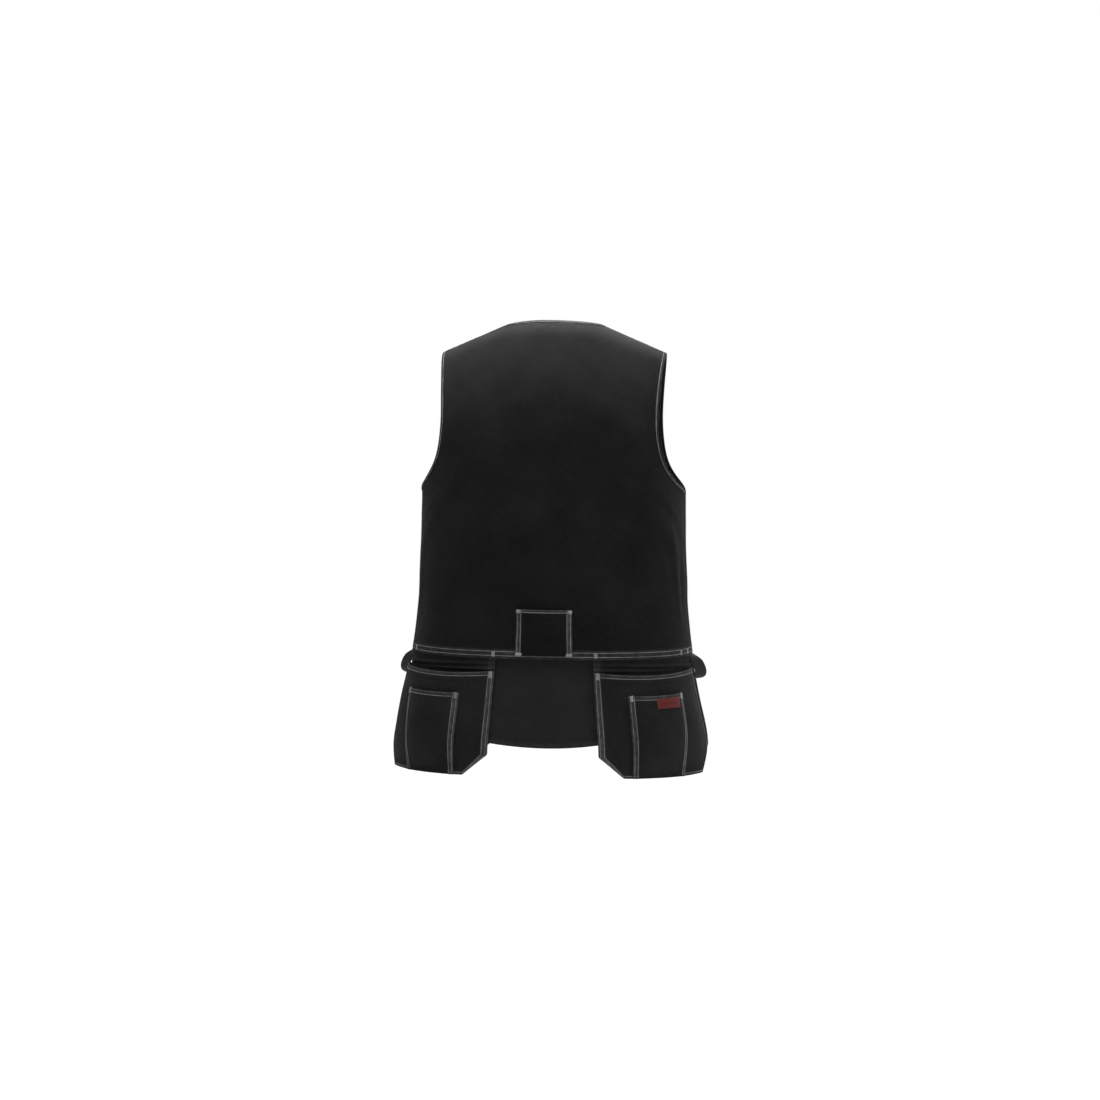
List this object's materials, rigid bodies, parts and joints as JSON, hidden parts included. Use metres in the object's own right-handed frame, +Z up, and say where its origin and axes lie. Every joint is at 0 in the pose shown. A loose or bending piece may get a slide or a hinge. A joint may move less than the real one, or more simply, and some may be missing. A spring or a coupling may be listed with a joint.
{
  "type": "utility work vest",
  "caption": "Sleeveless canvas work vest with a V neck, front zip, hanging tool pouches behind and in front, a tail flap, a back patch pocket and webbing side loops.",
  "frame": {"origin": "where the vest hangs from the shoulders: on the middle plane, half way between back and front, level with the top of the bound back neck edge", "axes": "+Z up, +Y towards the wearer's front, +X towards the wearer's right; the pictured back faces -Y"},
  "size_m": [0.5014, 0.2838, 0.7053],
  "materials": {
    "canvas": "matte black cotton and polyester canvas",
    "binding_tape": "matte black folded tape",
    "webbing": "black polyester webbing",
    "zip": "matte black",
    "tab_cloth": "plain red woven cloth"
  },
  "bodies": {
    "root": {"back_panel": "canvas", "front_panel_left": "canvas", "front_panel_right": "canvas", "front_zip": "zip", "neck_binding": "binding_tape", "armhole_binding_left": "binding_tape", "armhole_binding_right": "binding_tape", "rear_pouch_backing_left": "canvas", "rear_pouch_face_left": "canvas", "front_pouch_backing_left": "canvas", "front_pouch_face_left": "canvas", "rear_pouch_backing_right": "canvas", "rear_pouch_face_right": "canvas", "front_pouch_backing_right": "canvas", "front_pouch_face_right": "canvas", "tool_pocket_left": "canvas", "tool_pocket_right": "canvas", "label_tab": "tab_cloth", "tail_flap": "canvas", "back_pocket": "canvas", "side_loop_left": "webbing", "side_loop_right": "webbing"}
  },
  "joints": []
}
